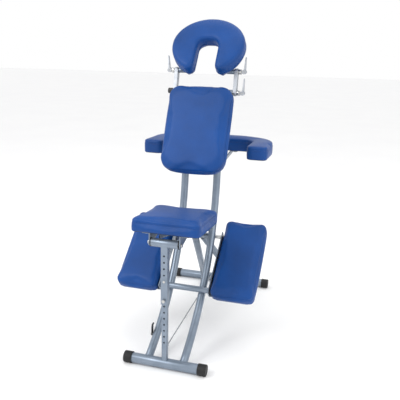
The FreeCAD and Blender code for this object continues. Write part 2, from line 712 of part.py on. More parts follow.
# ---- Face cradle ----
def cam_end(side, y, z):
    """The outer end of a clamp rod: a cam seat and the lever's cross pin."""
    seat_face = Vector(side * cam_seat_x, y, z)
    seat = rod(seat_face, seat_face + Vector(side * cam_seat_t, 0, 0), 20.0)
    pin = rod(Vector(side * cam_x, y - lever_width / 2, z), Vector(side * cam_x, y + lever_width / 2, z), 5.0)
    return seat.fuse(pin)


def cam_lever(side, y, z):
    """A forked cam lever standing upright; it opens outwards about a pin along Y."""
    half = lever_width / 2
    cam = rod(Vector(0, -half, 0), Vector(0, half, 0), 2 * cam_r)
    blade = Part.Face(Part.makePolygon([
        Vector(-4.5, -half, 4), Vector(4.5, -half, 4), Vector(5.5, -half, 14),
        Vector(7.5, -half, lever_length - 3),
        Vector(5.5, -half, lever_length), Vector(3, -half, lever_length - 4), Vector(0, -half, 14),
        Vector(-4.5, -half, 4),
    ])).extrude(Vector(0, lever_width, 0))
    taper = [Vector(-20, half, 12), Vector(-20, half, lever_length + 1), Vector(-20, 3.5, lever_length + 1)]
    wedge = Part.Face(Part.makePolygon(taper + taper[:1])).extrude(Vector(40, 0, 0))
    blade = blade.cut(wedge).cut(wedge.mirror(Vector(0, 0, 0), Vector(0, 1, 0)))
    rod_gap = clamp_rod_d / 2 + 0.6
    lever = cam.fuse(blade).removeSplitter()
    lever = lever.cut(block(-cam_r - 1, cam_r + 1, -rod_gap, rod_gap, -cam_r - 1, cam_r + 1))
    lever = lever.cut(rod(Vector(0, -half, 0), Vector(0, half, 0), 5.0 + 2 * running_fit))
    if side < 0:
        lever = mirrored(lever)
    lever.translate(Vector(side * cam_x, y, z))
    return lever


def face_outline(half_width, upper, lower, slot_half, slot_top, slot_corner, low_z, high_z):
    """An oval slab, longer below, with a slot open at the bottom, in the cradle's own frame."""
    slab = None
    for height, way in ((upper, 1), (lower, -1)):
        longer, shorter, turn = (half_width, height, 0) if half_width > height else (height, half_width, 90)
        ring = Part.Ellipse(Vector(0, 0, low_z), longer, shorter).toShape()
        ring.rotate(Vector(0, 0, low_z), Vector(0, 0, 1), turn)
        oval = Part.Face(Part.Wire(ring)).extrude(Vector(0, 0, high_z - low_z))
        low_y, high_y = sorted((0, way * 2 * height))
        oval = oval.common(block(-2 * half_width, 2 * half_width, low_y, high_y, low_z, high_z))
        slab = oval if slab is None else slab.fuse(oval)
    slot = block(-slot_half, slot_half, -lower - 5, slot_top, low_z - 1, high_z + 1)
    upright = [e for e in slot.Edges
               if abs(e.tangentAt(e.FirstParameter).z) > 0.9 and e.BoundBox.YMin > -lower]
    return slab.removeSplitter().cut(slot.makeFillet(slot_corner, upright))


def rounded_lobes(slab, radius):
    """Rounds the two upright edges where the slot meets the outer outline."""
    upright = [e for e in slab.Edges if e.Vertexes and abs(e.tangentAt(e.FirstParameter).z) > 0.9]
    lowest = min(e.BoundBox.YMin for e in upright)
    return slab.makeFillet(radius, [e for e in upright if e.BoundBox.YMin < lowest + 1])


def make_cradle():
    rod_end = cam_x + 4
    lower = rod(Vector(-cam_seat_x - 18, cross_tube_y, cross_tube_z),
                Vector(rod_end, cross_tube_y, cross_tube_z), clamp_rod_d)
    parts["lower_clamp_rod"] = lower.fuse(cam_end(1, cross_tube_y, cross_tube_z)).removeSplitter()
    knob_face = Vector(-cam_seat_x, cross_tube_y, cross_tube_z)
    knob = rod(knob_face, knob_face - Vector(22, 0, 0), 22.0)
    knob = knob.makeFillet(2.0, [e for e in knob.Edges if e.Closed])
    parts["lower_clamp_knob"] = knob.cut(lower)
    lower_hole = cross_rod(200, cross_tube_y, cross_tube_z, clamp_rod_d + 2 * running_fit)
    upper_hole = cross_rod(200, upper_y, upper_z, clamp_rod_d + 2 * running_fit)
    bolts, ears = [], []
    for side, name in ((-1, "left"), (1, "right")):
        low_x, high_x = sorted((side * link_x, side * (link_x + link_t)))
        lean = Vector(0, math.cos(rad(link_lean)), -math.sin(rad(link_lean))) * (link_width / 2)
        low_axis = Vector(0, cross_tube_y, cross_tube_z)
        high_axis = Vector(0, upper_y, upper_z)
        corners = [low_axis + lean, high_axis + lean, high_axis - lean, low_axis - lean]
        arm = side_plate([(c.y, c.z) for c in corners], low_x, high_x)
        for axis in (low_axis, high_axis):
            arm = arm.fuse(rod(Vector(low_x, axis.y, axis.z), Vector(high_x, axis.y, axis.z), link_width))
        parts["link_arm_" + name] = arm.removeSplitter().cut(lower_hole).cut(upper_hole)
        shaft = rod(Vector(side * ear_inner_x, upper_y, upper_z), Vector(side * rod_end, upper_y, upper_z),
                    clamp_rod_d)
        bolts.append(shaft.fuse(cam_end(side, upper_y, upper_z)).removeSplitter())
        ears.append(rod(Vector(side * ear_inner_x, upper_y, upper_z),
                        Vector(side * cross_tube_half, upper_y, upper_z), ear_d))
        parts["upper_cam_lever_" + name] = cam_lever(side, upper_y, upper_z)
    parts["lower_cam_lever"] = cam_lever(1, cross_tube_y, cross_tube_z)

    foam_low = -face_t / 2
    board_low = foam_low - face_board_t
    plate_low = board_low - face_plate_t
    cushion = face_outline(face_half_width, face_upper_height, face_lower_height, face_slot_half,
                           face_slot_top, 28,
                           board_low + cover_step, face_t / 2)
    cushion = softened(rounded_lobes(cushion, 26), 20)
    board = face_outline(face_half_width - 22, face_upper_height - 22, face_lower_height - 22,
                         face_slot_half + 16,
                         face_slot_top + 14, 28, board_low, foam_low)
    shift = Vector(face_shift, 0, 0)
    cushion = cushion.cut(board)
    cushion.translate(shift)
    board.translate(shift)
    plate = face_outline(face_half_width - 34, face_upper_height - 32, face_lower_height - 30,
                         face_slot_half + 26,
                         face_slot_top + 24, 28, plate_low, board_low)
    screw_places = ((-90, 0), (90, 0), (-40, 68), (40, 68), (-86, -40), (86, -40))
    screws = [pan_screw(x, y, plate_low) for x, y in screw_places]
    holes = group(screws)
    hinge_y = -cradle_rise
    hinge_z = -cradle_back
    for side in (-1, 1):
        low_x, high_x = sorted((side * ear_inner_x, side * (ear_inner_x + 22)))
        plate = plate.fuse(block(low_x, high_x, hinge_y - 8, hinge_y + 50, plate_low, board_low))
        plate = plate.fuse(block(low_x, high_x, hinge_y - 8, hinge_y + 8, hinge_z, plate_low))
    parts["cradle_plate"] = placed(plate.removeSplitter().cut(holes), cradle_frame_at)
    for ear in ears:
        parts["cradle_plate"] = parts["cradle_plate"].fuse(ear)
    parts["cradle_plate"] = parts["cradle_plate"].removeSplitter().cut(group(bolts))
    parts["cradle_board"] = placed(board.cut(holes), cradle_frame_at)
    parts["cradle_screws"] = group([placed(s, cradle_frame_at) for s in screws])
    parts["face_cushion"] = placed(cushion, cradle_frame_at)
    parts["upper_clamp_bolts"] = group(bolts)


# ---- Folding latch on the left rail ----
def latch_axis():
    y = bend_y + 42
    z = foot_z
    while rail_at(z) < y:
        z += 1
    return y, z


def make_latch(rails):
    y, z = latch_axis()
    face = -rail_x - rail_d / 2
    low_x = face - side_gap - 4
    hook = side_plate([(y - 7, z), (y + 7, z), (y + 7, z + 34), (y + 15, z + 34), (y + 15, z + 40),
                       (y - 2, z + 40), (y - 7, z + 32)],
                      low_x, face - side_gap)
    hook = hook.fuse(rod(Vector(low_x, y, z), Vector(face - side_gap, y, z), 16))
    hole = rod(Vector(low_x - 1, y, z), Vector(face, y, z), screw_d + 2 * running_fit)
    parts["latch_hook"] = hook.removeSplitter().cut(hole)
    pivot = rod(Vector(low_x - 0.3, y, z), Vector(-rail_x, y, z), screw_d)
    pivot = pivot.fuse(rod(Vector(low_x - 3.3, y, z), Vector(low_x - 0.3, y, z), 11.0))
    parts["latch_screw"] = pivot.removeSplitter().cut(rails[0])


def make_cable():
    post_end, leg_point, way, down, anchor = cable_ends()
    parts["limit_cable"] = rod(post_end, leg_point - way * 0.3, cable_d)


make_foot(rear_foot_half, rear_y, "rear")
make_foot(front_foot_half, front_y, "front")
rail_bars = make_rails()
make_cross_members(rail_bars)
make_pivot(rail_bars)
make_front_frame()
make_post()
make_sleeve()
parts["frame_pad_screws"] = group(make_knee_pads() + make_chest_pad(rail_bars))
make_armrest(rail_bars)
make_seat()
make_cradle()
make_latch(rail_bars)
make_cable()

os.makedirs("parts", exist_ok=True)
for name, shape in parts.items():
    solids = shape.Solids
    good = all(s.isValid() and s.isClosed() for s in solids)
    print(name, len(solids), round(sum(s.Volume for s in solids)), "ok" if good and solids else "BAD")
    (shape if len(solids) != 1 else solids[0]).exportStep("parts/" + name + ".step")
print(len(parts), "nodes; cable", round(parts["limit_cable"].BoundBox.DiagonalLength), "mm")
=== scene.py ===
import json
import math
import bmesh
import bpy
from mathutils import Matrix, Vector, noise


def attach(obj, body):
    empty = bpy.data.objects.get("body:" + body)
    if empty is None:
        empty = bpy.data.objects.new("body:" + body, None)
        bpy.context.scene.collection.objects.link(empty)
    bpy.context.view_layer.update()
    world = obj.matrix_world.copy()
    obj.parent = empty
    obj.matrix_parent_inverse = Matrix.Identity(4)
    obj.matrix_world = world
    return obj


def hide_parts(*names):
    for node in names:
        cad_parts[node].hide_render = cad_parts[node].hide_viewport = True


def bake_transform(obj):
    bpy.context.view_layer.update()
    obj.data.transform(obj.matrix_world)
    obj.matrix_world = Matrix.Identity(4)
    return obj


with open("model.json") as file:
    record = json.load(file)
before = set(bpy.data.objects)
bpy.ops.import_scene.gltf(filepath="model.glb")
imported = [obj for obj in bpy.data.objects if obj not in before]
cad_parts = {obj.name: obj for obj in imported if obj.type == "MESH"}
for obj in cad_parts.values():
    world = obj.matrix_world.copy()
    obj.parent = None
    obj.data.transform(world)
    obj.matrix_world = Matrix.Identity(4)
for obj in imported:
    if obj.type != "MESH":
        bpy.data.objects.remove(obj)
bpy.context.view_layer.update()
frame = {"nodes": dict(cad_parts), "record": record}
nodes = frame["nodes"]
print("frame loaded:", len(nodes), "parts")


# ---------- small helpers for meshes ----------

def newObject(name, verts, faces, smooth=True):
    mesh = bpy.data.meshes.new(name)
    mesh.from_pydata([tuple(v) for v in verts], [], faces)
    mesh.update()
    for poly in mesh.polygons:
        poly.use_smooth = smooth
    obj = bpy.data.objects.new(name, mesh)
    bpy.context.scene.collection.objects.link(obj)
    return obj


def sweepTube(name, points, radiusAt, sides=12, closed=False):
    # a tube along a line of points; radiusAt(share along, angle) gives its radius
    count = len(points)
    verts, faces = [], []
    ahead = (points[1] - points[0]).normalized()
    side = ahead.orthogonal().normalized()
    for i, point in enumerate(points):
        if closed:
            ahead = (points[(i + 1) % count] - points[i - 1]).normalized()
        else:
            ahead = (points[min(i + 1, count - 1)] - points[max(i - 1, 0)]).normalized()
        side = (side - ahead * side.dot(ahead)).normalized()
        other = ahead.cross(side)
        for k in range(sides):
            angle = 2 * math.pi * k / sides
            outward = side * math.cos(angle) + other * math.sin(angle)
            verts.append(point + outward * radiusAt(i / count, angle))
    rings = count if closed else count - 1
    for i in range(rings):
        for k in range(sides):
            a, b = i * sides + k, i * sides + (k + 1) % sides
            c, d = ((i + 1) % count) * sides + (k + 1) % sides, ((i + 1) % count) * sides + k
            faces.append((a, b, c, d))
    if not closed:
        faces.append(tuple(reversed(range(sides))))
        faces.append(tuple((count - 1) * sides + k for k in range(sides)))
    return newObject(name, verts, faces)


def evenPoints(points, spacing):
    # the same closed line with points at an even spacing
    lengths = [(points[(i + 1) % len(points)] - points[i]).length for i in range(len(points))]
    total = sum(lengths)
    count = max(12, round(total / spacing))
    out, i, walked = [], 0, 0.0
    for k in range(count):
        target = total * k / count
        while i < len(points) - 1 and walked + lengths[i] < target:
            walked += lengths[i]
            i += 1
        share = (target - walked) / max(lengths[i], 1e-9)
        out.append(points[i].lerp(points[(i + 1) % len(points)], share))
    return out


# ---------- materials ----------

def srgb(hexText):
    parts = [int(hexText[i:i + 2], 16) / 255 for i in (1, 3, 5)]
    return tuple(c / 12.92 if c <= 0.04045 else ((c + 0.055) / 1.055) ** 2.4 for c in parts) + (1.0,)


def addNode(material, kind, settings=None, links=None):
    node = material.node_tree.nodes.new(kind)
    for key, value in (settings or {}).items():
        if isinstance(key, str) and key not in node.inputs:
            setattr(node, key, value)
        else:
            node.inputs[key].default_value = value
    for key, source in (links or {}).items():
        material.node_tree.links.new(source, node.inputs[key])
    return node


def startMaterial(name):
    material = bpy.data.materials.new(name)
    material.use_nodes = True
    material.node_tree.nodes.clear()
    return material, addNode(material, "ShaderNodeTexCoord").outputs["Object"]


def finishMaterial(material, settings, links):
    shader = addNode(material, "ShaderNodeBsdfPrincipled", settings, links)
    addNode(material, "ShaderNodeOutputMaterial", {}, {"Surface": shader.outputs[0]})
    return material


def mixColours(material, factor, colourA, colourB):
    mix = addNode(material, "ShaderNodeMix", {"data_type": "RGBA", 6: colourA, 7: colourB}, {0: factor})
    return mix.outputs[2]


# PVC leatherette on polyester knit, embossed and calendered: an even mid blue, soft broad
# highlights, a pebble grain about 2 mm across with painted shade in its hollows, and faint cloudy change of
# tone over the foam.
def makeLeatherette(name, lit, deep):
    material, place = startMaterial(name)
    cloud = addNode(material, "ShaderNodeTexNoise", {"Scale": 7.0, "Detail": 3.0}, {"Vector": place})
    grain = addNode(material, "ShaderNodeTexVoronoi", {"feature": "DISTANCE_TO_EDGE", "Scale": 1 / 0.0024},
                    {"Vector": place})
    crease = addNode(material, "ShaderNodeTexNoise", {"Scale": 1 / 0.012, "Detail": 4.0, "Roughness": 0.6},
                     {"Vector": place})
    pore = addNode(material, "ShaderNodeMapRange",
                   {"From Min": 0.0, "From Max": 0.12, "To Min": 0.0, "To Max": 1.0},
                   {"Value": grain.outputs["Distance"]})
    toneRange = addNode(material, "ShaderNodeMapRange", {"From Min": 0.3, "From Max": 0.7},
                        {"Value": cloud.outputs["Fac"]})
    tone = mixColours(material, toneRange.outputs[0], srgb(deep), srgb(lit))
    # painted shade: the pebble grain's hollows are darkened by up to 14 % in the colour
    porePaintedShade = addNode(material, "ShaderNodeMapRange", {"To Min": 0.86, "To Max": 1.0},
                        {"Value": pore.outputs[0]})
    shaded = addNode(material, "ShaderNodeMix", {"data_type": "RGBA", "blend_type": "MULTIPLY", 0: 1.0},
                     {6: tone, 7: porePaintedShade.outputs[0]})
    rough = addNode(material, "ShaderNodeMapRange", {"To Min": 0.36, "To Max": 0.5},
                    {"Value": crease.outputs["Fac"]})
    creaseBump = addNode(material, "ShaderNodeBump", {"Strength": 0.25, "Distance": 0.0012},
                         {"Height": crease.outputs["Fac"]})
    grainBump = addNode(material, "ShaderNodeBump", {"Strength": 0.35, "Distance": 0.00025},
                        {"Height": pore.outputs[0], "Normal": creaseBump.outputs[0]})
    return finishMaterial(material, {"IOR": 1.5, "Specular IOR Level": 0.3},
                          {"Base Color": shaded.outputs[2], "Roughness": rough.outputs[0],
                           "Normal": grainBump.outputs[0]})


# Polyester powder coat in aluminium silver, sprayed and baked on steel tube: a pale blue-grey
# satin with fine orange peel about 3 mm across and slightly duller patches from handling.
def makePowderCoat(name, colour, shade):
    material, place = startMaterial(name)
    peel = addNode(material, "ShaderNodeTexNoise", {"Scale": 1 / 0.003, "Detail": 1.0}, {"Vector": place})
    handling = addNode(material, "ShaderNodeTexNoise", {"Scale": 1 / 0.06, "Detail": 4.0, "Roughness": 0.65},
                       {"Vector": place})
    spread = addNode(material, "ShaderNodeMapRange", {"From Min": 0.35, "From Max": 0.75},
                     {"Value": handling.outputs["Fac"]})
    tone = mixColours(material, spread.outputs[0], srgb(colour), srgb(shade))
    rough = addNode(material, "ShaderNodeMapRange", {"To Min": 0.27, "To Max": 0.4},
                    {"Value": handling.outputs["Fac"]})
    bump = addNode(material, "ShaderNodeBump", {"Strength": 0.12, "Distance": 0.0003},
                   {"Height": peel.outputs["Fac"]})
    return finishMaterial(material, {"Metallic": 0.55, "IOR": 1.5, "Coat Weight": 0.15,
                                     "Coat Roughness": 0.2},
                          {"Base Color": tone, "Roughness": rough.outputs[0], "Normal": bump.outputs[0]})


# Zinc-plated steel for pins, bolts and screws: bright, slightly warm metal, turned rings and
# a faint smoky bloom in the plating.
def makeZincPlate(name):
    material, place = startMaterial(name)
    bloom = addNode(material, "ShaderNodeTexNoise", {"Scale": 1 / 0.008, "Detail": 3.0}, {"Vector": place})
    stretched = addNode(material, "ShaderNodeMapping", {"Scale": (1 / 0.0008, 120.0, 120.0)},
                        {"Vector": place})
    turned = addNode(material, "ShaderNodeTexNoise", {"Scale": 1.0, "Detail": 2.0},
                     {"Vector": stretched.outputs[0]})
    tone = mixColours(material, bloom.outputs["Fac"], srgb("#D3D2CC"), srgb("#A9ACB0"))
    rough = addNode(material, "ShaderNodeMapRange", {"To Min": 0.2, "To Max": 0.38},
                    {"Value": bloom.outputs["Fac"]})
    bump = addNode(material, "ShaderNodeBump", {"Strength": 0.15, "Distance": 0.0001},
                   {"Height": turned.outputs["Fac"]})
    return finishMaterial(material, {"Metallic": 1.0},
                          {"Base Color": tone, "Roughness": rough.outputs[0], "Normal": bump.outputs[0]})


# Die-cast aluminium, tumbled: a soft grey metal with a fine sandy skin and darker hollows.
def makeCastAluminium(name):
    material, place = startMaterial(name)
    skin = addNode(material, "ShaderNodeTexNoise", {"Scale": 1 / 0.0018, "Detail": 3.0}, {"Vector": place})
    blotch = addNode(material, "ShaderNodeTexNoise", {"Scale": 1 / 0.02, "Detail": 3.0}, {"Vector": place})
    tone = mixColours(material, blotch.outputs["Fac"], srgb("#C9CCD1"), srgb("#A2A7AE"))
    rough = addNode(material, "ShaderNodeMapRange", {"To Min": 0.36, "To Max": 0.55},
                    {"Value": blotch.outputs["Fac"]})
    bump = addNode(material, "ShaderNodeBump", {"Strength": 0.3, "Distance": 0.0002},
                   {"Height": skin.outputs["Fac"]})
    return finishMaterial(material, {"Metallic": 0.9},
                          {"Base Color": tone, "Roughness": rough.outputs[0], "Normal": bump.outputs[0]})


# Compression-moulded black rubber: near black, matte, with a fine stipple and chalky scuffs.
def makeMouldedRubber(name):
    material, place = startMaterial(name)
    stipple = addNode(material, "ShaderNodeTexVoronoi", {"Scale": 1 / 0.0016}, {"Vector": place})
    scuff = addNode(material, "ShaderNodeTexNoise", {"Scale": 1 / 0.018, "Detail": 5.0, "Roughness": 0.7},
                    {"Vector": place})
    worn = addNode(material, "ShaderNodeMapRange", {"From Min": 0.5, "From Max": 0.8},
                   {"Value": scuff.outputs["Fac"]})
    tone = mixColours(material, worn.outputs[0], srgb("#0C0D0F"), srgb("#1E2023"))
    rough = addNode(material, "ShaderNodeMapRange", {"To Min": 0.5, "To Max": 0.75},
                    {"Value": scuff.outputs["Fac"]})
    bump = addNode(material, "ShaderNodeBump", {"Strength": 0.25, "Distance": 0.0002},
                   {"Height": stipple.outputs["Distance"]})
    return finishMaterial(material, {"IOR": 1.52},
                          {"Base Color": tone, "Roughness": rough.outputs[0], "Normal": bump.outputs[0]})


# Glass-filled nylon, injection moulded: black with a fine spark-eroded texture and a low sheen.
def makeMouldedNylon(name):
    material, place = startMaterial(name)
    spark = addNode(material, "ShaderNodeTexNoise", {"Scale": 1 / 0.001, "Detail": 2.0}, {"Vector": place})
    flow = addNode(material, "ShaderNodeTexNoise", {"Scale": 1 / 0.01, "Detail": 2.0}, {"Vector": place})
    tone = mixColours(material, flow.outputs["Fac"], srgb("#1B1C1F"), srgb("#2A2C30"))
    rough = addNode(material, "ShaderNodeMapRange", {"To Min": 0.32, "To Max": 0.46},
                    {"Value": flow.outputs["Fac"]})
    bump = addNode(material, "ShaderNodeBump", {"Strength": 0.2, "Distance": 0.0001},
                   {"Height": spark.outputs["Fac"]})
    return finishMaterial(material, {"IOR": 1.53},
                          {"Base Color": tone, "Roughness": rough.outputs[0], "Normal": bump.outputs[0]})


# Birch plywood under a thin black lacquer, rolled on: dark, with the veneer's long grain
# showing through as brown streaks about 4 mm apart.
def makeLacqueredPlywood(name):
    material, place = startMaterial(name)
    stretched = addNode(material, "ShaderNodeMapping", {"Scale": (250.0, 12.0, 12.0)}, {"Vector": place})
    veneer = addNode(material, "ShaderNodeTexNoise", {"Scale": 1.0, "Detail": 5.0, "Distortion": 0.4},
                     {"Vector": stretched.outputs[0]})
    streak = addNode(material, "ShaderNodeMapRange", {"From Min": 0.4, "From Max": 0.75},
                     {"Value": veneer.outputs["Fac"]})
    tone = mixColours(material, streak.outputs[0], srgb("#16171B"), srgb("#3A3330"))
    rough = addNode(material, "ShaderNodeMapRange", {"To Min": 0.4, "To Max": 0.65},
                    {"Value": veneer.outputs["Fac"]})
    bump = addNode(material, "ShaderNodeBump", {"Strength": 0.2, "Distance": 0.0003},
                   {"Height": veneer.outputs["Fac"]})
    return finishMaterial(material, {"IOR": 1.5}, {"Base Color": tone, "Roughness": rough.outputs[0],
                                                   "Normal": bump.outputs[0]})


# Galvanised wire rope: grey twisted strands, dull between them.
def makeWireRope(name):
    material, place = startMaterial(name)
    dull = addNode(material, "ShaderNodeTexNoise", {"Scale": 1 / 0.004, "Detail": 3.0}, {"Vector": place})
    tone = mixColours(material, dull.outputs["Fac"], srgb("#B4B7BA"), srgb("#7C8084"))
    rough = addNode(material, "ShaderNodeMapRange", {"To Min": 0.3, "To Max": 0.5},
                    {"Value": dull.outputs["Fac"]})
    return finishMaterial(material, {"Metallic": 0.85}, {"Base Color": tone, "Roughness": rough.outputs[0]})


# Bonded polyester thread, twisted and waxed: a tone darker than the cover, with a slight shine.
def makeSewingThread(name):
    material, place = startMaterial(name)
    twist = addNode(material, "ShaderNodeTexWave", {"Scale": 1 / 0.0012, "Distortion": 1.0},
                    {"Vector": place})
    tone = mixColours(material, twist.outputs["Fac"], srgb("#1D3C74"), srgb("#2E579E"))
    return finishMaterial(material, {"Roughness": 0.55, "IOR": 1.5}, {"Base Color": tone})


# Matt white emulsion on a smooth studio floor, rolled: almost no texture, a faint mottle.
def makeStudioFloor(name):
    material, place = startMaterial(name)
    mottle = addNode(material, "ShaderNodeTexNoise", {"Scale": 1.5, "Detail": 2.0}, {"Vector": place})
    tone = mixColours(material, mottle.outputs["Fac"], srgb("#FBFBFB"), srgb("#F5F5F6"))
    return finishMaterial(material, {"Roughness": 0.75}, {"Base Color": tone})


leatherette = makeLeatherette("leatheretteBlue", "#05468F", "#043C7C")
finishes = {
    "frame_paint": makePowderCoat("powderCoatSilver", "#8793A2", "#727F8E"),
    "bright_steel": makeZincPlate("zincPlatedSteel"),
    "cast_alloy": makeCastAluminium("castAluminium"),
    "black_rubber": makeMouldedRubber("mouldedRubber"),
    "black_plastic": makeMouldedNylon("mouldedNylon"),
    "board": makeLacqueredPlywood("lacqueredPlywood"),
    "upholstery": leatherette,
    "cable": makeWireRope("galvanisedWireRope"),
}
thread = makeSewingThread("polyesterThread")


def coat(obj, material):
    obj.data.materials.clear()
    obj.data.materials.append(material)


slotOf = {piece["node"]: piece["material_slot"] for piece in frame["record"]["subparts"]}
bodyOf = {node: body for body, members in frame["record"]["behaviour"]["bodies"].items() for node in members}
sharpParts = {"angle": 38.0, "width": 0.0006}  # small rounding that every cut and pressed edge has
for name, obj in nodes.items():
    for materialSlot in obj.material_slots:
        materialSlot.material = finishes[slotOf[name]]
    weld = obj.modifiers.new("joinSkin", "WELD")
    weld.merge_threshold = 0.00002
    bevel = obj.modifiers.new("edgeRound", "BEVEL")
    bevel.width = sharpParts["width"]
    bevel.segments = 2
    bevel.limit_method = "ANGLE"
    bevel.angle_limit = math.radians(sharpParts["angle"])
    bevel.harden_normals = True
print("finishes on the steel, cast and moulded parts")


# ---------- upholstery ----------

def relaxed(points, links, rounds, strength, held):
    for _ in range(rounds):
        moved = [p.copy() for p in points]
        for i, around in enumerate(links):
            if around and not held[i]:
                middle = sum((points[j] for j in around), Vector()) / len(around)
                moved[i] = points[i].lerp(middle, strength)
        points = moved
    return points


coverCloth = {"quality": 5, "mass": 0.3, "bending": 4.0, "steps": 20}


def blowUp(obj, pinned, pressure, stiffness):
    # the cover as cloth round the foam, pushed out from inside
    group = obj.vertex_groups.new(name="onBoard")
    group.add(pinned, 1.0, "REPLACE")
    cloth = obj.modifiers.new("cover", "CLOTH")
    settings = cloth.settings
    settings.quality = coverCloth["quality"]
    settings.mass = coverCloth["mass"]
    settings.tension_stiffness = stiffness
    settings.compression_stiffness = stiffness
    settings.shear_stiffness = stiffness / 2
    settings.bending_stiffness = coverCloth["bending"]
    settings.use_pressure = True
    settings.uniform_pressure_force = pressure
    settings.effector_weights.gravity = 0.0
    settings.vertex_group_mass = "onBoard"
    cloth.collision_settings.use_collision = False
    cloth.point_cache.frame_start = 1
    cloth.point_cache.frame_end = coverCloth["steps"]
    scene = bpy.context.scene
    for step in range(1, coverCloth["steps"] + 1):
        scene.frame_set(step)
    graph = bpy.context.evaluated_depsgraph_get()
    shape = obj.evaluated_get(graph).to_mesh()
    points = [v.co.copy() for v in shape.vertices]
    obj.evaluated_get(graph).to_mesh_clear()
    obj.modifiers.remove(cloth)
    scene.frame_set(1)
    return points


coverFit = {"pocketReach": 0.0002, "joinReach": 0.00002, "turnedUnder": 0.004, "onBoard": 0.0035,
            "firstEasing": 3, "lastEasing": 4, "easing": 0.5, "restingGather": 0.3}


def upholster(pieceName, node, pad):
    # the pad's own space: X across, Y along, Z out of its face; the board is at its lowest Z
    place = Matrix.Translation(pad["origin"]) @ Matrix.Rotation(math.radians(pad["angle"]), 4, "X")
    back = place.inverted()
    source = nodes[node].data
    local = [back @ v.co for v in source.vertices]
    low = Vector([min(p[i] for p in local) for i in range(3)])
    high = Vector([max(p[i] for p in local) for i in range(3)])
    inset = pad["inset"]
    obj = newObject(pieceName, [], [])
    mesh = bpy.data.meshes.new_from_object(nodes[node])
    obj.data = mesh
    mesh.transform(back)
    skin = bmesh.new()
    skin.from_mesh(mesh)
    for vert in skin.verts:  # close the pocket that the board sits in
        if abs(vert.co.z - pad["pocket"]) < coverFit["pocketReach"]:
            vert.co.z = low.z
    bmesh.ops.remove_doubles(skin, verts=skin.verts, dist=coverFit["joinReach"])
    skin.to_mesh(mesh)
    skin.free()
    grid = obj.modifiers.new("grid", "REMESH")
    grid.mode = "VOXEL"
    grid.voxel_size = pad["voxel"]
    graph = bpy.context.evaluated_depsgraph_get()
    obj.data = bpy.data.meshes.new_from_object(obj.evaluated_get(graph))
    obj.modifiers.clear()
    mesh = obj.data
    links = [[] for _ in mesh.vertices]
    for edge in mesh.edges:
        a, b = edge.vertices
        links[a].append(b)
        links[b].append(a)
    start = relaxed([v.co.copy() for v in mesh.vertices], links, coverFit["firstEasing"],
                    coverFit["easing"], [False] * len(links))
    normals = [v.normal.copy() for v in mesh.vertices]
    for i, p in enumerate(start):
        drawn = p - normals[i] * inset
        drawn.z = max(drawn.z, low.z)
        if p.z < low.z + coverFit["turnedUnder"]:
            drawn.z = low.z
        start[i] = drawn
    for vertex, p in zip(mesh.vertices, start):
        vertex.co = p
    flat = [p.z < low.z + coverFit["onBoard"] for p in start]
    points = [p.copy() for p in start]
    blown = blowUp(obj, [i for i, f in enumerate(flat) if f], pad["pressure"], pad["stiffness"])
    for i, p in enumerate(blown):
        swell = p - start[i]
        if swell.length > pad["cap"]:
            swell *= pad["cap"] / swell.length
        points[i] = start[i] + swell
    points = relaxed(points, links, coverFit["lastEasing"], coverFit["easing"], flat)
    # the face is fullest in the middle, and the cover pulls in along its sewn edges
    for i, p in enumerate(points):
        if flat[i]:
            continue
        nearSeam = sum(math.exp(-((p.z - seam) / pad["seamWidth"]) ** 2) for seam in pad["seams"])
        pull = pad["seamDepth"] * nearSeam
        loose = coverFit["restingGather"] + nearSeam
        gather = noise.noise((place @ p) * pad["gatherScale"]) * pad["gather"] * loose
        points[i] = p - normals[i] * (pull - gather)
    for vertex, p in zip(mesh.vertices, points):
        vertex.co = p
    smooth = obj.modifiers.new("smooth", "SUBSURF")
    smooth.levels = 1
    smooth.render_levels = 1
    graph = bpy.context.evaluated_depsgraph_get()
    obj.data = bpy.data.meshes.new_from_object(obj.evaluated_get(graph))
    obj.modifiers.clear()
    mesh = obj.data
    room = pad["room"]
    for vertex in mesh.vertices:
        p = vertex.co
        for axis in range(3):
            p[axis] = min(max(p[axis], low[axis] - (0 if axis == 2 else room)), high[axis] + room)
    for poly in mesh.polygons:
        poly.use_smooth = True
    loops = {seam: sliceLoops(mesh, seam) for seam in pad["seams"]}
    mesh.transform(place)
    coat(obj, leatherette)
    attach(obj, bodyOf[node])
    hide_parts(node)
    for number, (seam, found) in enumerate(loops.items()):
        sewSeam(pieceName + "Seam" + str(number + 1), found, place, bodyOf[node], pad)
    print(pieceName, "upholstered:", len(mesh.vertices), "points")
    return obj, loops


def sliceLoops(mesh, height):
    # closed lines where a level plane meets the pad
    cut = bmesh.new()
    cut.from_mesh(mesh)
    found = bmesh.ops.bisect_plane(cut, geom=cut.verts[:] + cut.edges[:] + cut.faces[:], dist=1e-7,
                                   plane_co=(0, 0, height), plane_no=(0, 0, 1))
    edges = [e for e in found["geom_cut"] if isinstance(e, bmesh.types.BMEdge)]
    beside = {}
    for edge in edges:
        a, b = edge.verts
        beside.setdefault(a, []).append(b)
        beside.setdefault(b, []).append(a)
    loops, seen = [], set()
    for first in beside:
        if first in seen:
            continue
        line, at = [], first
        while at is not None and at not in seen:
            seen.add(at)
            line.append(at.co.copy())
            at = next((n for n in beside[at] if n not in seen), None)
        if len(line) > seamSewing["shortestLoop"]:
            loops.append(line)
    cut.free()
    return loops


seamSewing = {"weltRadius": 0.0014, "stitchPitch": 0.0052, "stitchLength": 0.0034, "stitchRadius": 0.0005,
              "stitchDrop": 0.0042, "stitchOut": 0.0012, "weltSides": 8, "threadSides": 6,
              "weltSpacing": 0.004, "weltEasing": 2, "shortestLoop": 30,
              "stitchRings": ((-0.5, 0.25), (-0.35, 1.0), (0.35, 1.0), (0.5, 0.25))}


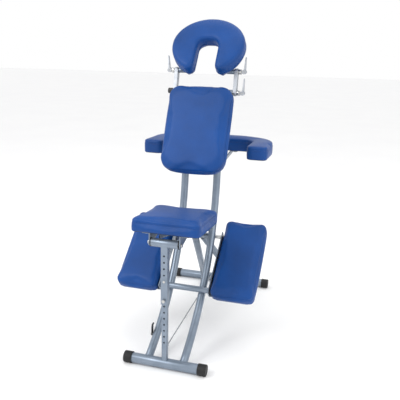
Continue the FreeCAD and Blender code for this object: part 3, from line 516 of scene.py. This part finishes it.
def sewSeam(name, loops, place, body, pad):
    # a narrow turned welt where two panels meet, and a row of top stitching beside it
    weltVerts, weltFaces, stitchVerts, stitchFaces = [], [], [], []
    sides, threadSides = seamSewing["weltSides"], seamSewing["threadSides"]
    for line in loops:
        even = evenPoints(line, seamSewing["weltSpacing"])
        area = sum(even[i - 1].x * even[i].y - even[i].x * even[i - 1].y for i in range(len(even)))
        turn = 1 if area > 0 else -1
        for _ in range(seamSewing["weltEasing"]):
            even = [(even[i - 1] + even[i] * 2 + even[(i + 1) % len(even)]) / 4 for i in range(len(even))]
        first = len(weltVerts)
        for i, p in enumerate(even):
            ahead = (even[(i + 1) % len(even)] - even[i - 1]).normalized()
            outward = Vector((ahead.y, -ahead.x, 0)) * turn
            for k in range(sides):
                angle = 2 * math.pi * k / sides
                weltVerts.append(place @ (p + outward * (math.cos(angle) * seamSewing["weltRadius"])
                                          + Vector((0, 0, math.sin(angle) * seamSewing["weltRadius"]))))
        for i in range(len(even)):
            for k in range(sides):
                a, b = first + i * sides + k, first + i * sides + (k + 1) % sides
                j = (i + 1) % len(even)
                weltFaces.append((a, b, first + j * sides + (k + 1) % sides, first + j * sides + k))
        row = evenPoints(line, seamSewing["stitchPitch"])
        for i, p in enumerate(row):
            ahead = (row[(i + 1) % len(row)] - row[i - 1]).normalized()
            outward = Vector((ahead.y, -ahead.x, 0)) * turn
            centre = p + outward * seamSewing["stitchOut"] - Vector((0, 0, seamSewing["stitchDrop"]))
            at = len(stitchVerts)
            for share, radius in seamSewing["stitchRings"]:
                for k in range(threadSides):
                    angle = 2 * math.pi * k / threadSides
                    around = outward * math.cos(angle) + Vector((0, 0, math.sin(angle)))
                    stitchVerts.append(place @ (centre + ahead * (share * seamSewing["stitchLength"])
                                                + around * (radius * seamSewing["stitchRadius"])))
            for ring in range(len(seamSewing["stitchRings"]) - 1):
                for k in range(threadSides):
                    near, after = at + ring * threadSides, (k + 1) % threadSides
                    stitchFaces.append((near + k, near + after, near + threadSides + after,
                                        near + threadSides + k))
            last = at + (len(seamSewing["stitchRings"]) - 1) * threadSides
            stitchFaces.append(tuple(at + k for k in reversed(range(threadSides))))
            stitchFaces.append(tuple(last + k for k in range(threadSides)))
    if not weltVerts:
        return
    welt = newObject(name + "Welt", weltVerts, weltFaces)
    coat(welt, leatherette)
    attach(welt, body)
    stitches = newObject(name + "Stitches", stitchVerts, stitchFaces)
    coat(stitches, thread)
    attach(stitches, body)


padCommon = {"voxel": 0.005, "pressure": 4.0, "stiffness": 25.0, "cap": 0.006, "inset": 0.0025, "room": 0.004,
             "seamWidth": 0.0045, "seamDepth": 0.0012, "gatherScale": 70.0, "gather": 0.0006, "fill": 0.9}
kneePad = {**padCommon, "origin": (0, -0.238, 0.2355), "angle": 40.0, "pocket": -0.044, "seams": (-0.0175,)}
chestPad = {**padCommon, "origin": (0, -0.1535, 0.688), "angle": 67.0, "pocket": -0.036, "seams": (-0.0175,)}
seatPad = {**padCommon, "origin": (0, -0.430, 0.575), "angle": -3.9, "pocket": -0.041, "seams": (-0.0175,)}
armPad = {**padCommon, "origin": (0, 0, 0.716), "angle": 0.0, "pocket": 0.010, "seams": (0.0415,)}
facePad = {**padCommon, "origin": (0, 0.06579, 1.15367), "angle": 54.0, "pocket": -0.031, "seams": (-0.014,)}

upholster("kneeCushionRight", "knee_cushion_right", kneePad)
upholster("kneeCushionLeft", "knee_cushion_left", kneePad)
upholster("chestCushion", "chest_cushion", chestPad)
upholster("seatCushion", "seat_cushion", seatPad)
upholster("armrestCushion", "armrest_cushion", armPad)
upholster("faceCushion", "face_cushion", facePad)


# ---------- weld beads ----------

weldRun = {"points": 72, "sides": 10, "radius": 0.0021, "ripple": 0.00035, "ripples": 26}


def weldBead(name, body, branch, branchWay, branchRadius, main, mainWay, mainRadius):
    # the bead where a tube meets another tube's side
    branchWay, mainWay = Vector(branchWay).normalized(), Vector(mainWay).normalized()
    branch, main = Vector(branch), Vector(main)
    across = branchWay.cross(mainWay).normalized()
    other = branchWay.cross(across)
    points = []
    for k in range(weldRun["points"]):
        angle = 2 * math.pi * k / weldRun["points"]
        edge = branch + (across * math.cos(angle) + other * math.sin(angle)) * branchRadius
        offset = edge - main
        flatWay = branchWay - mainWay * branchWay.dot(mainWay)
        flatOff = offset - mainWay * offset.dot(mainWay)
        a, b, c = flatWay.dot(flatWay), 2 * flatWay.dot(flatOff), flatOff.dot(flatOff) - mainRadius ** 2
        inside = max(b * b - 4 * a * c, 0.0)
        points.append(edge + branchWay * ((-b + math.sqrt(inside)) / (2 * a)))

    def beadRadius(share, angle):
        return weldRun["radius"] + weldRun["ripple"] * math.sin(2 * math.pi * weldRun["ripples"] * share)

    bead = sweepTube(name, points, beadRadius, weldRun["sides"], True)
    coat(bead, finishes["frame_paint"])
    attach(bead, body)


tubes = {"rearY": -0.4155, "frontY": 0.4155, "footZ": 0.0205, "footR": 0.019, "railX": 0.068, "railR": 0.015,
         "pivotY": -0.005, "pivotZ": 0.389, "legTopX": 0.017, "legFootX": 0.086, "sleeveR": 0.013,
         "crossY": 0.0429, "crossZ": 0.979, "crossR": 0.0125, "topBury": 0.0026}
railSlope = {"foot": math.radians(30), "top": math.radians(85)}
for side, word in ((-1, "Left"), (1, "Right")):
    railFoot = (side * tubes["railX"], tubes["rearY"], tubes["footZ"])
    weldBead("railFootWeld" + word, "main_frame", railFoot,
             (0, math.cos(railSlope["foot"]), math.sin(railSlope["foot"])),
             tubes["railR"], (0, tubes["rearY"], tubes["footZ"]), (1, 0, 0), tubes["footR"])
    railTop = (side * tubes["railX"], tubes["crossY"], tubes["crossZ"])
    weldBead("railTopWeld" + word, "main_frame", railTop,
             (0, -math.cos(railSlope["top"]), -math.sin(railSlope["top"])),
             tubes["railR"] - tubes["topBury"],
             (0, tubes["crossY"], tubes["crossZ"]), (1, 0, 0), tubes["crossR"])
    legTop = Vector((side * tubes["legTopX"], tubes["pivotY"], tubes["pivotZ"]))
    legFoot = Vector((side * tubes["legFootX"], tubes["frontY"], tubes["footZ"]))
    weldBead("legFootWeld" + word, "front_frame", legFoot, legTop - legFoot, tubes["railR"],
             (0, tubes["frontY"], tubes["footZ"]), (1, 0, 0), tubes["footR"])
print("weld beads laid")


# ---------- limit cable ----------

cableRoute = {"radius": 0.002, "turns": 34, "strands": 6, "steps": 240}


def makeLimitCable():
    shape = nodes["limit_cable"].data
    points = [v.co.copy() for v in shape.vertices]
    nearY, farY = min(p.y for p in points), max(p.y for p in points)
    nearEnd = [p for p in points if p.y < (nearY + farY) / 2]
    farEnd = [p for p in points if p.y >= (nearY + farY) / 2]
    start = sum(nearEnd, Vector()) / len(nearEnd)
    end = sum(farEnd, Vector()) / len(farEnd)
    line = [start.lerp(end, i / cableRoute["steps"]) for i in range(cableRoute["steps"] + 1)]

    def strandRadius(share, angle):
        twist = 2 * math.pi * cableRoute["turns"] * share
        return cableRoute["radius"] * (0.93 + 0.07 * math.cos(cableRoute["strands"] * angle - twist))

    cable = sweepTube("limitCable", line, strandRadius, 18)
    coat(cable, finishes["cable"])
    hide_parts("limit_cable")
    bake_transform(cable)
    return cable


makeLimitCable()
print("limit cable strung")


# ---------- floor, light and camera ----------

floorSize = 30.0
floor = newObject("studioFloor", [(-floorSize, -floorSize, 0), (floorSize, -floorSize, 0),
                                  (floorSize, floorSize, 0),
                                  (-floorSize, floorSize, 0)], [(0, 1, 2, 3)], smooth=False)
coat(floor, makeStudioFloor("mattWhiteEmulsion"))

world = bpy.data.worlds.new("studioRoom")
bpy.context.scene.world = world
world.use_nodes = True
world.node_tree.nodes["Background"].inputs["Color"].default_value = (1.0, 1.0, 1.0, 1.0)
world.node_tree.nodes["Background"].inputs["Strength"].default_value = 1.0


def addSoftbox(name, at, target, size, power):
    light = bpy.data.lights.new(name, "AREA")
    light.shape = "RECTANGLE"
    light.size, light.size_y = size
    light.energy = power
    lamp = bpy.data.objects.new(name, light)
    bpy.context.scene.collection.objects.link(lamp)
    lamp.location = at
    lamp.rotation_euler = (Vector(target) - Vector(at)).to_track_quat("-Z", "Y").to_euler()


addSoftbox("keySoftbox", (-1.8, -2.2, 2.8), (0, 0, 0.6), (1.6, 1.6), 45)
addSoftbox("fillSoftbox", (2.6, -1.4, 1.6), (0, 0, 0.6), (1.8, 1.8), 14)
addSoftbox("topSoftbox", (0.3, 0.6, 3.2), (0, 0, 0.5), (2.0, 2.0), 18)

view = {"at": (0.5983, -2.0575, 1.1228), "azimuth": 16.17, "elevation": 15.237, "roll": 1.18, "lens": 48.02}
azimuth, elevation, roll = (math.radians(view[k]) for k in ("azimuth", "elevation", "roll"))
ahead = Vector((-math.sin(azimuth) * math.cos(elevation), math.cos(azimuth) * math.cos(elevation),
                -math.sin(elevation)))
right = Vector((math.cos(azimuth), math.sin(azimuth), 0))
up = right.cross(ahead)
rolledRight = right * math.cos(roll) + up * math.sin(roll)
rolledUp = up * math.cos(roll) - right * math.sin(roll)
cameraData = bpy.data.cameras.new("studioCamera")
cameraData.sensor_width = 36.0
cameraData.lens = view["lens"]
camera = bpy.data.objects.new("studioCamera", cameraData)
bpy.context.scene.collection.objects.link(camera)
turn = Matrix((rolledRight, rolledUp, -ahead)).transposed().to_4x4()
camera.matrix_world = Matrix.Translation(view["at"]) @ turn
bpy.context.scene.camera = camera
bpy.context.scene.view_settings.view_transform = "Standard"
